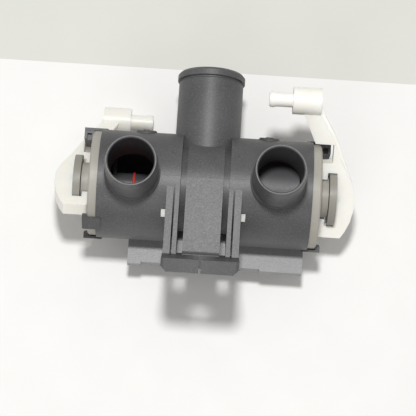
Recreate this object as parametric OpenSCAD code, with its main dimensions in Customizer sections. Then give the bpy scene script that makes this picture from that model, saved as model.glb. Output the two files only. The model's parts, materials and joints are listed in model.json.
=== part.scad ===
// Diverter valve: one inlet, two outlets, and a lever-driven rotary shutter in each half of the barrel.
// X runs along the barrel, Y points out of the inlet, Z points out of the outlets.
// The origin is at the middle of the saddle's rest face.

/* [Barrel] */
// Outer diameter of the two chambers
chamber_d = 63.2; // [60:0.2:80]
// Length of the barrel between the end covers
barrel_l = 122.8; // [120:0.2:160]
// Wall of the chambers and the waist
barrel_wall = 3.1; // [2.5:0.1:4]
// Diameter of the waist between the chambers
waist_d = 57; // [54:0.5:58]
// Length of the waist
waist_l = 28; // [24:0.5:28]
// Thickness of the partition at the inner end of each chamber
partition_t = 3; // [2:0.5:4]
// Height of the saddle under the barrel
saddle_h = 10.4; // [8:0.1:20]

/* [Spigots] */
// Outer diameter of the inlet
inlet_d = 38; // [30:0.5:46]
// Distance from the barrel axis to the inlet's end
inlet_reach = 69.5; // [60:0.5:90]
// Outer diameter of each outlet
outlet_d = 30; // [26:0.5:34]
// Distance from the barrel axis to the outlets' rims
outlet_reach = 61; // [52:0.5:80]
// Distance from an outlet's axis to the end of the barrel
outlet_inset = 19.9; // [19:0.1:24]
// Wall of the inlet
inlet_wall = 2.25; // [1.8:0.05:3]
// Wall of the outlets
outlet_wall = 2.1; // [1.8:0.05:3]
// Height of the bead round the inlet's end
bead_h = 0.9; // [0.4:0.1:1.5]

/* [Bracket] */
// Width of the web in the middle of the bracket
web_w = 21; // [16:0.5:22]
// Distance from the barrel axis to the foot
bracket_reach = 44.5; // [42:0.5:60]
// Height of the foot along its face
foot_h = 26; // [25:0.5:36]
// Thickness of the foot
foot_t = 7.5; // [4:0.5:9]
// Lean of the foot away from the barrel
foot_lean = 17; // [0:1:30]
// Diameter of the hole in the foot
foot_hole_d = 21; // [12:0.5:21]
// Width of the slit from the hole to the foot's free edge
slit_gap = 1.2; // [0.8:0.1:3]

/* [Ledge] */
// Length of the ledge to the left of the middle
ledge_left = 43; // [30:0.5:58]
// Length of the ledge to the right of the middle
ledge_right = 60; // [30:0.5:60]
// Distance that the ledge stands out past the chambers
ledge_out = 11.7; // [6:0.1:16]

/* [Covers and rotors] */
// Thickness of an end cover's flange
cover_t = 5; // [3:0.5:8]
// Diameter of the cover's neck
neck_d = 23.4; // [20:0.2:24]
// Length of the cover's neck
neck_l = 5.4; // [5:0.1:12]
// Diameter of the rotor's shaft
shaft_d = 10; // [8:0.5:12]
// Diameter of the drive disc
disc_d = 32; // [28:0.5:36]
// Thickness of the drive disc
disc_t = 4.2; // [2.5:0.1:6]
// Radial clearance of a shaft in its bore
running_gap = 0.05; // [0.02:0.01:0.1]
// Space between the shutter and its seat
shutter_gap = 0.4; // [0.3:0.1:1]

/* [Levers] */
// Width of a lever across its arm
lever_w = 8; // [6:0.5:12]
// Distance from the barrel axis to a lever's pin
pin_reach = 57.4; // [52:0.2:75]
// Diameter of a lever's pin
pin_d = 8.2; // [6:0.2:11]
// Diameter of the collar behind the pin
collar_d = 15.8; // [14:0.2:18]
// Rest angle of the right lever above the inlet's axis
right_rest = 31.5; // [0:0.5:32]
// Rest angle of the left lever above the inlet's axis
left_rest = -34.5; // [-36:0.5:0]
// Angle that each lever turns through
travel = 66; // [58:1:66]

/* [Hidden] */
$fn = 96;

eps = 0.01;
body_colour = [0.33, 0.33, 0.34];
cover_colour = [0.70, 0.68, 0.65];
lever_colour = [0.95, 0.94, 0.90];
rubber_colour = [0.10, 0.10, 0.10];
seal_colour = [0.72, 0.12, 0.10];

// Barrel
chamber_r = chamber_d / 2;
bore_r = chamber_r - barrel_wall;
waist_r = waist_d / 2;
groove_r = waist_r - 3.5;
middle_bore_r = groove_r - barrel_wall;
end_x = barrel_l / 2;
outlet_x = end_x - outlet_inset;
partition_x = waist_l / 2 + 1;
chamber_x = partition_x + partition_t;
pin_gap = 0.8;
lowest_turn = max(-left_rest, travel - right_rest);
axis_h = max(chamber_r + saddle_h, pin_reach * sin(lowest_turn) + collar_d / 2 + pin_gap);

// Spigots
inlet_r = inlet_d / 2;
inlet_bore_r = inlet_r - inlet_wall;
outlet_r = outlet_d / 2;
outlet_bore_r = outlet_r - outlet_wall;
bead_l = 5;

// Covers
cover_r = chamber_r - 1.2;
plug_l = 3;
plug_r = bore_r - 0.1;
plug_x = end_x - plug_l;
flange_x = end_x + cover_t;
neck_x = flange_x + neck_l;
disc_x = neck_x + 0.3;
back_x = disc_x + disc_t;
o_ring_r = 0.9;
gland_l = 3;
gland_r = shaft_d / 2 + 3;
washer_t = 1.2;
washer_x = plug_x - washer_t;

// Inner bush
stub_r = shaft_d / 2 - 1;
bush_r = stub_r + 2;
hub_r = bush_r + 2;
hub_x = chamber_x + 2;

// Seat and rotor
carrier_t = 2;
carrier_r = bore_r - carrier_t;
seat_r = outlet_bore_r + 0.5;
seal_r = outlet_bore_r + 1.6;
shutter_r = carrier_r - shutter_gap;
shutter_t = 2.5;
shutter_half = asin((seat_r + 0.5) / shutter_r);
rotor_hub_r = shaft_d / 2 + 2;
hub_ring_r = 0.8;
screw_r = 1.5;
screw_head_r = 3.4;
screw_head_l = 2;
screw_l = 12;

// Bracket
web_z = chamber_r - 2.6;
web_t = 2.5;
rib_z = chamber_r - 0.6;
gap_w = 3.5;
inner_rib_w = 2.5;
slit_w = 1;
outer_rib_w = 3.9;
inner_rib_x = web_w / 2 + gap_w;
outer_rib_x = inner_rib_x + inner_rib_w + slit_w;
bracket_x = outer_rib_x + outer_rib_w;
tab_angle = 131;
tab_w = 2.4;
tab_h = 5;
tab_gap = 0.25;
tab_x = bracket_x + 0.3;

// Blanking plugs
plug_angle = 16;
blank_x = outlet_x - 5.6;

module on_side(side) {
    translate([0, 0, axis_h])
        if (side < 0) mirror([1, 0, 0]) children();
        else children();
}

// A round bar on the barrel's axis
module rod(x0, x1, r) {
    translate([x0, 0, 0])
        rotate([0, 90, 0])
            cylinder(r = r, h = x1 - x0);
}

module tube(x0, x1, outer, inner) {
    difference() {
        rod(x0, x1, outer);
        rod(x0 - 1, x1 + 1, inner);
    }
}

// A shape drawn in Y and Z, drawn out along X
module prism_x(x0, x1) {
    translate([x0, 0, 0])
        rotate([90, 0, 90])
            linear_extrude(x1 - x0) children();
}

module wedge(from, to, reach) {
    far = reach / cos((to - from) / 4);
    polygon(concat([[0, 0]], [for (i = [0:2]) let (a = from + (to - from) * i / 2) far * [cos(a), sin(a)]]));
}

// A curved plate that follows the chamber's wall
module shell_sector(x0, x1, outer, inner, from, to) {
    prism_x(x0, x1)
        intersection() {
            difference() {
                circle(outer);
                circle(inner);
            }
            wedge(from, to, 2 * outer);
        }
}

module o_ring(x, r, thickness) {
    translate([x, 0, 0])
        rotate([0, 90, 0])
            rotate_extrude() translate([r, 0]) circle(thickness, $fn = 32);
}

// Body

module inlet_outside() {
    rotate([-90, 0, 0])
        rotate_extrude()
            polygon([
                [0, groove_r / 2], [inlet_r, groove_r / 2], [inlet_r, inlet_reach - bead_l - 1.2],
                [inlet_r - 0.6, inlet_reach - bead_l - 0.6], [inlet_r - 0.6, inlet_reach - bead_l],
                [inlet_r + bead_h, inlet_reach - bead_l + 0.4], [inlet_r + bead_h, inlet_reach - 1.4],
                [inlet_r - 0.3, inlet_reach], [0, inlet_reach]
            ]);
}

module outlet_outside() {
    foot_z = bore_r - 4;
    ring_r = outlet_r + 1;
    rotate_extrude()
        polygon([
            [0, foot_z], [outlet_r + 0.4, foot_z], [outlet_r + 0.4, chamber_r + 0.6],
            [ring_r, chamber_r + 1.1], [ring_r, chamber_r + 2.3], [outlet_r + 0.2, chamber_r + 3.2],
            [outlet_r - 0.2, chamber_r + 7], [outlet_r, outlet_reach - 17], [outlet_r, outlet_reach - 7],
            [outlet_r - 0.9, outlet_reach], [0, outlet_reach]
        ]);
}

module rib(x0, width) {
    low_z = -chamber_r / 4;
    for (side = [-1, 1])
        prism_x(side > 0 ? x0 : -x0 - width, side > 0 ? x0 + width : -x0)
            polygon([
                [0, 0], [0, rib_z], [-bracket_reach - 1.5, rib_z], [-bracket_reach - 1, rib_z - 7],
                [-chamber_r, low_z + 12], [-chamber_r / 2, low_z]
            ]);
}

module foot() {
    chamfer = 3;
    half = bracket_x + 0.2;
    root = 5;
    corner = 1.5;
    translate([0, -bracket_reach, rib_z - 2])
        rotate([foot_lean, 0, 0])
            difference() {
                intersection() {
                    rotate([90, 0, 0])
                        linear_extrude(foot_t)
                            polygon([
                                [-half + root, -root], [half - root, -root], [half, 0],
                                [half, foot_h - corner], [half - corner, foot_h],
                                [corner - half, foot_h], [-half, foot_h - corner], [-half, 0]
                            ]);
                    // The outer face's upright edges are cut back
                    translate([0, 0, -root - 1])
                        linear_extrude(foot_h + root + 2)
                            polygon([
                                [-half - 1, 1], [half + 1, 1], [half + 1, chamfer - foot_t + 1],
                                [half - chamfer, -foot_t], [chamfer - half, -foot_t],
                                [-half - 1, chamfer - foot_t + 1]
                            ]);
                }
                translate([0, 1, foot_h / 2])
                    rotate([90, 0, 0])
                        cylinder(d = foot_hole_d, h = foot_t + 2);
                translate([-slit_gap / 2, -foot_t - 1, foot_h / 2]) cube([slit_gap, foot_t + 2, foot_h]);
            }
}

// Hollow blend where the web turns up into the foot
module web_fillet() {
    wall_under_hole = (foot_h - foot_hole_d) / 2;
    fillet = wall_under_hole - 0.5;
    prism_x(-web_w / 2, web_w / 2)
        difference() {
            polygon([
                [-bracket_reach - 1, web_z - 1], [fillet - bracket_reach, web_z - 1],
                [fillet - bracket_reach, web_z], [-bracket_reach - 0.4, web_z + fillet],
                [-bracket_reach - 1, web_z + fillet]
            ]);
            translate([fillet - bracket_reach, web_z + fillet]) circle(fillet);
        }
}

module bracket() {
    translate([-web_w / 2, -bracket_reach - 1, web_z - web_t]) cube([web_w, bracket_reach + 1, web_t]);
    rib(inner_rib_x, inner_rib_w);
    rib(outer_rib_x, outer_rib_w);
    foot();
    web_fillet();
}

module ledge() {
    front = chamber_r + ledge_out;
    top = -chamber_r / 2;
    notch = 35;
    difference() {
        union() {
            translate([-ledge_left, -front, top - 3])
                cube([ledge_left + ledge_right, front - chamber_r / 2, 3]);
            translate([-ledge_left, -front, top - 8]) cube([ledge_left + ledge_right, 2.2, 8]);
        }
        translate([-notch, -front - 1, top - 9]) cube([2 * notch, 2.2, 10]);
    }
}

// Snap hooks that hold an end cover on
module cover_hooks(angles) {
    arm_r = cover_r + 0.3;
    skin_r = chamber_r + 0.6;
    lip_l = 2.6;
    for (angle = angles)
        rotate([angle, 0, 0]) {
            translate([end_x - 3, arm_r, -4.5]) cube([3 + cover_t + lip_l, skin_r - arm_r, 9]);
            translate([flange_x, cover_r - 2, -4.5]) cube([lip_l, skin_r - cover_r + 2, 9]);
        }
}

// Broad catch at the rear of each end, with a pocket in its lip
module cover_catch() {
    skin_r = chamber_r + 0.6;
    lip_l = 5.8;
    low_z = -13.5;
    catch_w = 19.5;
    depth = 5.4;
    shell_sector(end_x - 3, flange_x + lip_l, skin_r, cover_r + 0.3, -26, 12);
    difference() {
        intersection() {
            translate([flange_x, cover_r - depth, low_z]) cube([lip_l, depth + 3, catch_w]);
            rod(flange_x - 1, flange_x + lip_l + 1, skin_r);
        }
        translate([flange_x + 1.4, cover_r - depth - 1, low_z + catch_w - 3]) cube([2.8, depth - 1, 5]);
    }
}

module saddle() {
    half = 30;
    depth = 18;
    translate([-half, -depth, -axis_h]) cube([2 * half, 2 * depth, 3]);
    for (x = [-half, -1.5, half - 3])
        translate([x, -depth, -axis_h]) cube([3, 2 * depth, axis_h]);
}

module at_plug() {
    rotate([plug_angle, 0, 0])
        translate([blank_x, 0, 0])
            rotate([-90, 0, 0]) children();
}

module body_outside() {
    for (side = [-1, 1])
        mirror([side < 0 ? 1 : 0, 0, 0]) {
            rod(waist_l / 2, end_x, chamber_r);
            translate([outlet_x, 0, 0]) outlet_outside();
            cover_hooks(side < 0 ? [150, 196, 290] : [196, 290]);
            cover_catch();
            at_plug() cylinder(r = 6.2, h = chamber_r + 0.2);
        }
    rod(-waist_l / 2 - eps, waist_l / 2 + eps, groove_r);
    rod(-web_w / 2, web_w / 2, waist_r);
    inlet_outside();
    bracket();
    ledge();
    saddle();
}

module body_inside() {
    rim = 0.6;
    flow_r = 5.5;
    flow_centre_r = middle_bore_r - flow_r - 1;
    for (side = [0, 1])
        mirror([side, 0, 0]) {
            rod(chamber_x, end_x + eps, bore_r);
            translate([outlet_x, 0, 0]) {
                cylinder(r = outlet_bore_r, h = outlet_reach + 1);
                translate([0, 0, outlet_reach - rim])
                    cylinder(r1 = outlet_bore_r, r2 = outlet_bore_r + rim, h = rim + eps);
            }
            // Flow holes through the partition
            for (i = [0:4])
                rotate([18 + 72 * i, 0, 0])
                    translate([0, flow_centre_r, 0]) rod(0, chamber_x + 1, flow_r);
            rod(0, chamber_x + 1, bush_r);
            at_plug() cylinder(r = 3.5, h = chamber_r + 2);
            // Window for the carrier's tab
            rotate([tab_angle, 0, 0])
                translate([tab_x - tab_gap, 0, -tab_h / 2 - tab_gap])
                    cube([tab_w + 2 * tab_gap, chamber_r + 2, tab_h + 2 * tab_gap]);
        }
    rod(-partition_x, partition_x, middle_bore_r);
    rotate([-90, 0, 0]) cylinder(r = inlet_bore_r, h = inlet_reach + 1);
}

module valve_body() {
    color(body_colour)
        translate([0, 0, axis_h]) {
            difference() {
                body_outside();
                body_inside();
            }
            for (side = [0, 1])
                mirror([side, 0, 0]) tube(chamber_x - eps, hub_x, hub_r, bush_r);
        }
}

// Covers

module cover() {
    edge = 0.8;
    color(cover_colour)
        difference() {
            union() {
                rod(plug_x, end_x + eps, plug_r);
                translate([end_x, 0, 0])
                    rotate([0, 90, 0])
                        rotate_extrude()
                            polygon([
                                [0, 0], [cover_r, 0], [cover_r, cover_t - edge],
                                [cover_r - edge, cover_t], [0, cover_t]
                            ]);
                rod(flange_x - eps, neck_x, neck_d / 2);
            }
            rod(plug_x - 1, neck_x + 1, shaft_d / 2 + running_gap);
            rod(neck_x - gland_l, neck_x + 1, gland_r);
            tube(
                plug_x + plug_l / 2 - o_ring_r, plug_x + plug_l / 2 + o_ring_r,
                plug_r + 1, bore_r - 2 * o_ring_r
            );
        }
}

module cover_seal() {
    color(rubber_colour) o_ring(plug_x + plug_l / 2, bore_r - o_ring_r, o_ring_r);
}

module shaft_seal() {
    color(rubber_colour) tube(neck_x - gland_l, neck_x, gland_r, shaft_d / 2 + running_gap);
}

module thrust_washer() {
    color(lever_colour) tube(washer_x, plug_x, gland_r + 1, shaft_d / 2 + 2 * running_gap);
}

module inner_bush() {
    color(lever_colour) tube(partition_x, hub_x, bush_r, stub_r + running_gap);
}

// Seats

module seal_carrier() {
    from = 50;
    to = tab_angle + 8;
    color(lever_colour) {
        difference() {
            shell_sector(hub_x, plug_x - 0.1, bore_r, carrier_r, from, to);
            translate([outlet_x, 0, 0]) cylinder(r = seal_r, h = outlet_reach);
        }
        rotate([tab_angle, 0, 0])
            translate([tab_x, bore_r - 1, -tab_h / 2]) cube([tab_w, barrel_wall + 0.6, tab_h]);
    }
}

module seat_seal() {
    color(seal_colour)
        intersection() {
            shell_sector(hub_x, plug_x - 0.1, bore_r, carrier_r, 50, tab_angle);
            translate([outlet_x, 0, 0])
                difference() {
                    cylinder(r = seal_r, h = outlet_reach);
                    translate([0, 0, -1]) cylinder(r = seat_r, h = outlet_reach + 2);
                }
        }
}

module blanking_plug() {
    color(body_colour)
        at_plug() {
            translate([0, 0, chamber_r + 0.2]) cylinder(r1 = 6.1, r2 = 5.5, h = 0.8);
            translate([0, 0, bore_r + 0.5]) cylinder(r = 3.5, h = chamber_r + 0.3 - bore_r);
            translate([0, 0, chamber_r + 0.9]) cylinder(r = 2, h = 0.5);
        }
}

// Moving parts

module turned(rest) {
    rotate([rest, 0, 0]) children();
}

// The shutter faces the outlet when its lever is up
module rotor() {
    seat_angle = 90 - right_rest;
    web_t = 2;
    margin = 0.8;
    x0 = outlet_x - outlet_bore_r - margin;
    x1 = outlet_x + outlet_bore_r - 0.6;
    from = seat_angle - shutter_half;
    to = seat_angle + shutter_half;
    color(body_colour)
        difference() {
            union() {
                rod(partition_x + 0.5, hub_x + 1, stub_r);
                rod(hub_x + 0.4, washer_x - 0.2, rotor_hub_r);
                rod(washer_x - 1, disc_x, shaft_d / 2);
                rod(disc_x - 1, back_x, stub_r);
                shell_sector(x0, x1, shutter_r, shutter_r - shutter_t, from, to);
                for (x = [x0, x1 - web_t])
                    prism_x(x, x + web_t)
                        intersection() {
                            circle(shutter_r - shutter_t / 2);
                            wedge(from + 2, to - 2, 2 * shutter_r);
                        }
            }
            rod(back_x - screw_l, back_x + 1, screw_r);
            tube(outlet_x - hub_ring_r, outlet_x + hub_ring_r, rotor_hub_r + 1, rotor_hub_r - hub_ring_r);
        }
}

module hub_ring() {
    color(seal_colour) o_ring(outlet_x, rotor_hub_r, hub_ring_r);
}

module drive_disc() {
    color(cover_colour) tube(disc_x, back_x, disc_d / 2, stub_r);
}

module disc_screw() {
    color("silver")
        difference() {
            union() {
                rod(back_x - screw_l, back_x + 1, screw_r);
                rod(back_x, back_x + screw_head_l, screw_head_r);
            }
            translate([back_x + screw_head_l / 2, 0, 0])
                for (angle = [0, 90])
                    rotate([angle, 0, 0]) translate([0, -2, -0.4]) cube([screw_head_l, 4, 0.8]);
        }
}

// Side view of a lever, in X and distance from the barrel's axis. The arm's outer edge is set in by arm_in.
module lever_outline(arm_in) {
    leg = disc_d / 2 + 7.4;
    arm_x = flange_x + 6.6;
    clear_r = chamber_r + 1.8;
    outer = back_x + 11.4;
    lip_x0 = flange_x + 0.6;
    lip_x1 = lip_x0 + 3.8;
    lip_r = neck_d / 2 + 0.5;
    hold_r = disc_d / 2 + 0.3;
    polygon([
        [back_x + 4.5, -leg], [outer - 4.4, -leg + 4.1], [outer - 1.7, -leg + 10.5], [outer - 0.2, -leg + 18.4],
        [outer, 2.9], [outer - 2.3, 10.5], [outer - 5.5 - arm_in / 2, 18.1], [outer - 8.5 - arm_in, 25],
        [back_x + 0.2 - arm_in, clear_r - 1.5], [arm_x - 0.3 - arm_in, clear_r + 6.4],
        [end_x + 5.5 - arm_in, pin_reach - 8], [end_x + 2.4 - arm_in, pin_reach],
        [end_x - 5.5, pin_reach], [end_x - 7, pin_reach - 7], [end_x + 0.8, clear_r], [arm_x, clear_r],
        [arm_x, leg - 1], [lip_x0, leg - 1.5], [lip_x0, lip_r], [lip_x1, lip_r], [lip_x1, hold_r],
        [back_x, hold_r], [back_x, -hold_r], [lip_x1, -hold_r], [lip_x1, -lip_r], [lip_x0, -lip_r],
        [lip_x0, 0.8 - leg], [lip_x0 + 0.8, -leg]
    ]);
}

module lever() {
    collar_x = end_x - 14;
    pin_x = end_x - 27.5;
    fin_w = lever_w / 2.5;
    fin_out = 2;
    color(lever_colour)
        difference() {
            union() {
                linear_extrude(lever_w, center = true) lever_outline(fin_out);
                linear_extrude(fin_w, center = true) lever_outline(0);
                translate([0, pin_reach, 0]) {
                    rod(collar_x, end_x + 2.4, collar_d / 2);
                    rod(pin_x, collar_x + 1, pin_d / 2);
                    rod(pin_x + 0.6, pin_x + 3.4, pin_d / 2 + 0.5);
                }
            }
            rod(back_x - 1, back_x + screw_head_l + 0.3, screw_head_r + 0.3);
        }
}

valve_body();
on_side(-1) cover();  // left_cover
on_side(1) cover();  // right_cover
on_side(-1) cover_seal();  // left_cover_seal
on_side(1) cover_seal();  // right_cover_seal
on_side(-1) shaft_seal();  // left_shaft_seal
on_side(1) shaft_seal();  // right_shaft_seal
on_side(-1) thrust_washer();  // left_thrust_washer
on_side(1) thrust_washer();  // right_thrust_washer
on_side(-1) inner_bush();  // left_inner_bush
on_side(1) inner_bush();  // right_inner_bush
on_side(-1) seal_carrier();  // left_seal_carrier
on_side(1) seal_carrier();  // right_seal_carrier
on_side(-1) seat_seal();  // left_seat_seal
on_side(1) seat_seal();  // right_seat_seal
on_side(-1) blanking_plug();  // left_blanking_plug
on_side(1) blanking_plug();  // right_blanking_plug
on_side(-1) turned(left_rest) rotor();  // left_rotor
on_side(1) turned(right_rest) rotor();  // right_rotor
on_side(-1) turned(left_rest) hub_ring();  // left_hub_ring
on_side(1) turned(right_rest) hub_ring();  // right_hub_ring
on_side(-1) turned(left_rest) drive_disc();  // left_drive_disc
on_side(1) turned(right_rest) drive_disc();  // right_drive_disc
on_side(-1) turned(left_rest) disc_screw();  // left_disc_screw
on_side(1) turned(right_rest) disc_screw();  // right_disc_screw
on_side(-1) turned(left_rest) lever();  // left_lever
on_side(1) turned(right_rest) lever();  // right_lever
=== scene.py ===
"""The diverter valve's looks: materials, moulded detail and a soft studio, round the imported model."""
import json
import math

import bpy
from mathutils import Matrix, Vector


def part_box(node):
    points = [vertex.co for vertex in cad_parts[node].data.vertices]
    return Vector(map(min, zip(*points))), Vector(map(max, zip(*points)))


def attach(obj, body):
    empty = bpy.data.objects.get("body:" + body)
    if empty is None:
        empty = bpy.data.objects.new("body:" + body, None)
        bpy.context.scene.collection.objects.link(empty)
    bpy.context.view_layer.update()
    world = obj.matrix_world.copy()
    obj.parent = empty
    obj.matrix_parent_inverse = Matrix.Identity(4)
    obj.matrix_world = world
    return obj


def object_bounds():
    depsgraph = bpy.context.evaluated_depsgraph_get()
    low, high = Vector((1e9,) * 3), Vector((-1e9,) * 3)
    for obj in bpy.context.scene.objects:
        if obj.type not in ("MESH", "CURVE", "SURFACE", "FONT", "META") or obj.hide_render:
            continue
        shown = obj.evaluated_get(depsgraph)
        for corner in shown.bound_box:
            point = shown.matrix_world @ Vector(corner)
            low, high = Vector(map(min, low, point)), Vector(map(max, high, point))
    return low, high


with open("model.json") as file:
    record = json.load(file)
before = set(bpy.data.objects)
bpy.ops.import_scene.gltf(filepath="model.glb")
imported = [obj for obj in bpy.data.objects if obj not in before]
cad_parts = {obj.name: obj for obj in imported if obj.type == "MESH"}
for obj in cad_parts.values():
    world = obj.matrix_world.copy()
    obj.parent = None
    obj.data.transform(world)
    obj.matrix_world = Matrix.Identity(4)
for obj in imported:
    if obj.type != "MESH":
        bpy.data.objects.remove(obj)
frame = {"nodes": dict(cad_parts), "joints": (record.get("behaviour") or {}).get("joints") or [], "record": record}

CAD_LOW, CAD_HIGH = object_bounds()
MM = 0.001
SIDES = {"left": -1, "right": 1}
JOINTS = {joint["name"]: joint for joint in frame["joints"]}
AXIS = Vector(JOINTS["right_lever_turn"]["pos_m"])
AXIS.x = 0.0

# The ledge's place about the barrel's axis
LEDGE_DEPTH = 14 * MM
LEDGE_START = 28 * MM
BACKDROP_START = 85 * MM

# Places that the moulded detail is set out from
MOUNTS = {mount["name"]: mount for mount in frame["record"]["mounts"]}
OUTLET = Vector(MOUNTS["right_outlet_spigot"]["pos_m"])
OUTLET_BORE = 13.1 * MM
CHAMBER_R = 31.6 * MM
BARREL_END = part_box("right_cover")[0].x + 3 * MM


# Materials

class Nodes:
    """Short helpers for one material's node tree."""

    def __init__(self, name):
        self.material = bpy.data.materials.new(name)
        self.material.use_nodes = True
        self.tree = self.material.node_tree
        self.shader = self.tree.nodes["Principled BSDF"]
        self.coordinates = self.tree.nodes.new("ShaderNodeTexCoord").outputs["Object"]

    def link(self, source, target):
        self.tree.links.new(source, target)

    def set(self, **values):
        for name, value in values.items():
            self.shader.inputs[name.replace("_", " ")].default_value = value

    def noise(self, scale, detail=4.0, roughness=0.5):
        node = self.tree.nodes.new("ShaderNodeTexNoise")
        node.inputs["Scale"].default_value = scale
        node.inputs["Detail"].default_value = detail
        node.inputs["Roughness"].default_value = roughness
        self.link(self.coordinates, node.inputs["Vector"])
        return node.outputs["Fac"]

    def ramp(self, source, stops):
        """stops are (position, value or colour) pairs."""
        node = self.tree.nodes.new("ShaderNodeValToRGB")
        elements = node.color_ramp.elements
        while len(elements) < len(stops):
            elements.new(0.5)
        for element, (position, value) in zip(elements, stops):
            element.position = position
            element.color = (value, value, value, 1) if isinstance(value, (int, float)) else (*value, 1)
        self.link(source, node.inputs["Fac"])
        return node.outputs["Color"]

    def mix(self, factor, first, second, blend="MIX"):
        node = self.tree.nodes.new("ShaderNodeMix")
        node.data_type = "RGBA"
        node.blend_type = blend
        for value, socket in ((factor, node.inputs[0]), (first, node.inputs[6]), (second, node.inputs[7])):
            if isinstance(value, bpy.types.NodeSocket):
                self.link(value, socket)
            elif isinstance(value, tuple):
                socket.default_value = (*value, 1)
            else:
                socket.default_value = value
        return node.outputs[2]

    def math(self, operation, first, second=0.0):
        node = self.tree.nodes.new("ShaderNodeMath")
        node.operation = operation
        for value, socket in ((first, node.inputs[0]), (second, node.inputs[1])):
            if isinstance(value, bpy.types.NodeSocket):
                self.link(value, socket)
            else:
                socket.default_value = value
        return node.outputs[0]

    def position(self, axis):
        node = self.tree.nodes.new("ShaderNodeSeparateXYZ")
        self.link(self.coordinates, node.inputs[0])
        return node.outputs[axis]

    def bump(self, height, strength, distance):
        node = self.tree.nodes.new("ShaderNodeBump")
        node.inputs["Strength"].default_value = strength
        node.inputs["Distance"].default_value = distance
        self.link(height, node.inputs["Height"])
        self.link(node.outputs["Normal"], self.shader.inputs["Normal"])


def body_plastic():
    """Dark glass-filled moulding: fibre flecks, a fine grain, painted shade inside the outlets and a rough ledge
    grain lightened with painted light.
    """
    n = Nodes("body_plastic")
    flecks = n.noise(1500, 3, 0.65)
    grain = n.noise(2600, 2, 0.5)
    cloud = n.noise(45, 3, 0.5)
    base = n.ramp(cloud, [(0.3, (0.066, 0.065, 0.068)), (0.7, (0.088, 0.087, 0.091))])
    base = n.mix(n.ramp(flecks, [(0.50, 0.0), (0.68, 0.55)]), base, (0.17, 0.17, 0.176))
    x, y, z = n.position("X"), n.position("Y"), n.position("Z")
    off_middle = n.math("ABSOLUTE", x)
    low = n.math("LESS_THAN", z, AXIS.z - LEDGE_DEPTH)
    far = n.math("LESS_THAN", y, AXIS.y - LEDGE_START)
    # The pale speckle on the ledge is partly its real rough grain and partly painted light.
    ledge_grain_and_painted_light = n.math("MULTIPLY", far, low)
    pale_speckle_painted_light = n.ramp(grain, [(0.35, (0.16, 0.16, 0.165)), (0.65, (0.36, 0.36, 0.365))])
    colour = n.mix(n.math("MULTIPLY", ledge_grain_and_painted_light, 0.9), base, pale_speckle_painted_light)
    # Painted shade inside the outlet bores: the walls above the barrel's axis are darkened.
    from_outlet = n.math("SUBTRACT", off_middle, OUTLET.x)
    radius_squared = n.math("ADD", n.math("MULTIPLY", from_outlet, from_outlet), n.math("MULTIPLY", y, y))
    in_bore = n.math("LESS_THAN", radius_squared, OUTLET_BORE ** 2)
    bore_painted_shade_mask = n.math("MULTIPLY", in_bore, n.math("GREATER_THAN", z, AXIS.z))
    bore_painted_shade_colour = n.mix(n.math("MULTIPLY", bore_painted_shade_mask, 0.8), colour, (0.055, 0.055, 0.06))
    n.link(bore_painted_shade_colour, n.shader.inputs["Base Color"])
    n.link(n.ramp(n.noise(1400, 2), [(0.3, 0.42), (0.7, 0.50)]), n.shader.inputs["Roughness"])
    n.set(Specular_IOR_Level=0.5)
    n.bump(n.mix(0.5, flecks, grain), 0.35, 0.00012)
    return n.material


def cover_plastic(name, painted_shade_scale):
    # A painted_shade_scale below 1 gives a darker copy of this plastic that paints in shade.
    n = Nodes(name)
    warm_greys = ((0.35, 0.334, 0.295), (0.42, 0.40, 0.355), (0.25, 0.238, 0.21))
    dark, light, fleck = (tuple(painted_shade_scale * value for value in grey) for grey in warm_greys)
    base = n.ramp(n.noise(60, 4), [(0.3, dark), (0.7, light)])
    base = n.mix(n.ramp(n.noise(1500, 2), [(0.6, 0.0), (0.75, 0.3)]), base, fleck)
    n.link(base, n.shader.inputs["Base Color"])
    n.link(n.ramp(n.noise(300, 4), [(0.3, 0.42), (0.7, 0.55)]), n.shader.inputs["Roughness"])
    n.bump(n.noise(2200, 2), 0.2, 0.00008)
    return n.material


def natural_nylon():
    n = Nodes("natural_nylon")
    cloud = n.noise(50, 4)
    base = n.ramp(cloud, [(0.3, (0.88, 0.86, 0.78)), (0.7, (0.93, 0.92, 0.87))])
    n.link(base, n.shader.inputs["Base Color"])
    n.link(n.ramp(n.noise(180, 4), [(0.3, 0.32), (0.7, 0.45)]), n.shader.inputs["Roughness"])
    n.set(Subsurface_Weight=0.35, Subsurface_Scale=0.004)
    n.shader.inputs["Subsurface Radius"].default_value = (1.0, 0.85, 0.6)
    n.bump(n.noise(500, 3), 0.12, 0.0001)
    return n.material


def soft(name, dark, light, rough):
    n = Nodes(name)
    n.link(n.ramp(n.noise(300, 4), [(0.3, dark), (0.7, light)]), n.shader.inputs["Base Color"])
    n.link(n.ramp(n.noise(700, 3), [(0.3, rough - 0.08), (0.7, rough + 0.08)]), n.shader.inputs["Roughness"])
    n.bump(n.noise(1800, 2), 0.2, 0.00006)
    return n.material


def zinc_steel():
    n = Nodes("zinc_steel")
    base = n.ramp(n.noise(400, 4), [(0.3, (0.50, 0.51, 0.52)), (0.7, (0.64, 0.64, 0.64))])
    n.link(base, n.shader.inputs["Base Color"])
    n.link(n.ramp(n.noise(900, 3), [(0.3, 0.25), (0.7, 0.42)]), n.shader.inputs["Roughness"])
    n.set(Metallic=1.0)
    n.bump(n.noise(1500, 2), 0.15, 0.00004)
    return n.material


MATERIALS = {
    "body_plastic": body_plastic(),
    "cover_plastic": cover_plastic("cover_plastic", 1.0),
    "natural_nylon": natural_nylon(),
    "black_rubber": soft("black_rubber", (0.012, 0.012, 0.012), (0.025, 0.025, 0.025), 0.6),
    "red_silicone": soft("red_silicone", (0.50, 0.035, 0.025), (0.62, 0.06, 0.045), 0.45),
    "zinc_steel": zinc_steel(),
}
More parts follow.
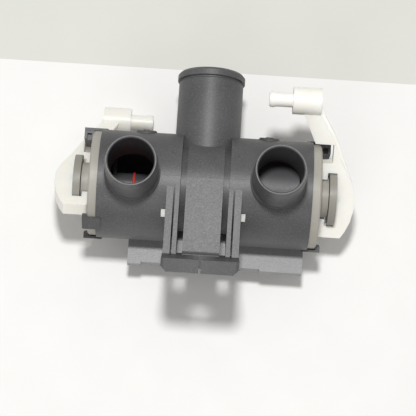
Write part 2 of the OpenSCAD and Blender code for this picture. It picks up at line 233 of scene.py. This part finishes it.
# Painted shade: the drive discs take a darker copy of the cover plastic for the shade they sit in.
DISC_PAINTED_SHADE_PLASTIC = cover_plastic("cover_plastic_painted_shade", 0.72)
SLOT_OF = {entry["node"]: entry["material_slot"] for entry in frame["record"]["subparts"]}
BEVELLED = {"valve_body": 0.35, "lever": 0.9, "cover": 0.25, "drive_disc": 0.3}

for name, node in frame["nodes"].items():
    node.data.materials.clear()
    finish = DISC_PAINTED_SHADE_PLASTIC if name.endswith("drive_disc") else MATERIALS[SLOT_OF[name]]
    node.data.materials.append(finish)
    kind = name.split("_", 1)[1] if name.split("_")[0] in SIDES else name
    if kind in BEVELLED:
        bevel = node.modifiers.new("edges", "BEVEL")
        bevel.width = BEVELLED[kind] * MM
        bevel.segments = 2
        bevel.limit_method = "ANGLE"
        bevel.angle_limit = math.radians(35)


# Moulded detail

def add_piece(name, mesh_object, body, slot_name):
    """Finishes a small moulded mark and lets it follow its body."""
    mesh_object.name = name
    mesh_object.data.materials.append(MATERIALS[slot_name])
    bevel = mesh_object.modifiers.new("edges", "BEVEL")
    bevel.width = 0.03 * MM
    bevel.segments = 2
    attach(mesh_object, body)


def bar(centre, size, turn_x=0.0):
    bpy.ops.mesh.primitive_cube_add(size=1, location=centre, rotation=(turn_x, 0, 0))
    made = bpy.context.object
    made.scale = size
    bpy.ops.object.transform_apply(location=False, rotation=False, scale=True)
    return made


def button(centre, radius, height, rotation):
    bpy.ops.mesh.primitive_cylinder_add(
        vertices=40, radius=radius, depth=height, location=centre, rotation=rotation
    )
    return bpy.context.object


def parting_lines():
    """Hairline ridges along the barrel's crest, broken where the outlets rise."""
    ridge = 0.3 * MM
    outlet_ring = 17.5 * MM
    waist_edge = 14.4 * MM
    for side, sign in SIDES.items():
        spans = ((waist_edge, OUTLET.x - outlet_ring), (OUTLET.x + outlet_ring, BARREL_END - ridge))
        for index, (start, end) in enumerate(spans):
            centre = Vector((sign * (start + end) / 2, 0, AXIS.z + CHAMBER_R))
            line = bar(centre, (end - start, ridge, ridge))
            add_piece(f"{side}_parting_line_{index}", line, "body", "body_plastic")


def gate_marks():
    """Small sprue buttons left by moulding on the barrel's flanks."""
    radius, height = 1.1 * MM, 0.4 * MM
    from_middle = 19 * MM
    front_angle, rear_angle = math.radians(118), math.radians(62)
    for side, sign in SIDES.items():
        for index, angle in enumerate((front_angle, rear_angle)):
            out = Vector((0, math.cos(angle), math.sin(angle)))
            centre = Vector((sign * from_middle, 0, AXIS.z)) + out * CHAMBER_R
            mark = button(centre, radius, height, (angle - math.pi / 2, 0, 0))
            add_piece(f"{side}_gate_mark_{index}", mark, "body", "body_plastic")


def lever_marks():
    """A parting ridge along each lever's collar and a gate button on its outer end."""
    collar_r = 7.9 * MM
    collar_inner, collar_outer = 47.9 * MM, 63.3 * MM
    gate_x, gate_r = 63.85 * MM, 1.3 * MM
    ridge = 0.3 * MM
    for side, sign in SIDES.items():
        pin = Vector(MOUNTS[f"{side}_lever_pin"]["pos_m"])
        out = Vector((0, pin.y - AXIS.y, pin.z - AXIS.z)).normalized()
        centre = Vector((sign * (collar_inner + collar_outer) / 2, pin.y, pin.z)) + out * collar_r
        turn = math.atan2(out.z, out.y)
        add_piece(f"{side}_collar_ridge", bar(centre, (collar_outer - collar_inner, ridge, ridge), turn),
                  f"{side}_actuator", "natural_nylon")
        end = Vector((sign * gate_x, pin.y, pin.z))
        add_piece(f"{side}_collar_gate", button(end, gate_r, ridge, (0, math.pi / 2, 0)),
                  f"{side}_actuator", "natural_nylon")


parting_lines()
gate_marks()
lever_marks()


# Floor, lights and camera

def make_floor():
    bpy.ops.mesh.primitive_plane_add(size=6, location=(0, 0, CAD_LOW.z))
    floor = bpy.context.object
    floor.name = "floor"
    n = Nodes("floor")
    paper = n.ramp(n.noise(3, 2), [(0.3, (0.86, 0.855, 0.84)), (0.7, (0.87, 0.865, 0.85))])
    behind = n.math("GREATER_THAN", n.position("Y"), BACKDROP_START)
    n.link(n.mix(behind, paper, (0.69, 0.69, 0.645)), n.shader.inputs["Base Color"])
    n.link(n.ramp(n.noise(40, 3), [(0.3, 0.55), (0.7, 0.65)]), n.shader.inputs["Roughness"])
    floor.data.materials.append(n.material)


def area_light(name, place, size, power, target):
    data = bpy.data.lights.new(name, "AREA")
    data.shape = "DISK"
    data.size = size
    data.energy = power
    light = bpy.data.objects.new(name, data)
    light.location = place
    light.rotation_euler = (Vector(target) - Vector(place)).to_track_quat("-Z", "Y").to_euler()
    bpy.context.scene.collection.objects.link(light)


def make_lights():
    """One main light high above and slightly behind, and a weak broad one in front."""
    area_light("key", (-0.02, 0.11, 1.13), 0.12, 8.4, AXIS)
    area_light("front_fill", (-0.2, -0.8, 0.75), 0.5, 1.3, AXIS)
    world = bpy.data.worlds.new("studio")
    world.use_nodes = True
    world.node_tree.nodes["Background"].inputs["Color"].default_value = (1.0, 0.99, 0.975, 1)
    world.node_tree.nodes["Background"].inputs["Strength"].default_value = 0.40
    bpy.context.scene.world = world


def make_camera():
    """Looks steeply down over the bracket with a long lens, rolled so that the right side sits lower."""
    elevation = math.radians(77.5)
    roll = math.radians(3.6)
    distance = 1.0
    width_in_view = 0.2434
    shift_right, shift_up = 1.9 * MM, -10.6 * MM
    back = Vector((0, -math.cos(elevation), math.sin(elevation)))
    right = Vector((1, 0, 0))
    up = back.cross(right)
    camera_right = math.cos(roll) * right + math.sin(roll) * up
    camera_up = math.cos(roll) * up - math.sin(roll) * right
    data = bpy.data.cameras.new("camera")
    data.sensor_width = 36.0
    data.lens = data.sensor_width * distance / width_in_view
    camera = bpy.data.objects.new("camera", data)
    place = AXIS + back * distance + camera_right * shift_right + camera_up * shift_up
    axes = Matrix((camera_right, camera_up, back)).transposed().to_4x4()
    camera.matrix_world = Matrix.Translation(place) @ axes
    bpy.context.scene.collection.objects.link(camera)
    bpy.context.scene.camera = camera


make_floor()
make_lights()
make_camera()
bpy.context.scene.view_settings.view_transform = "Standard"
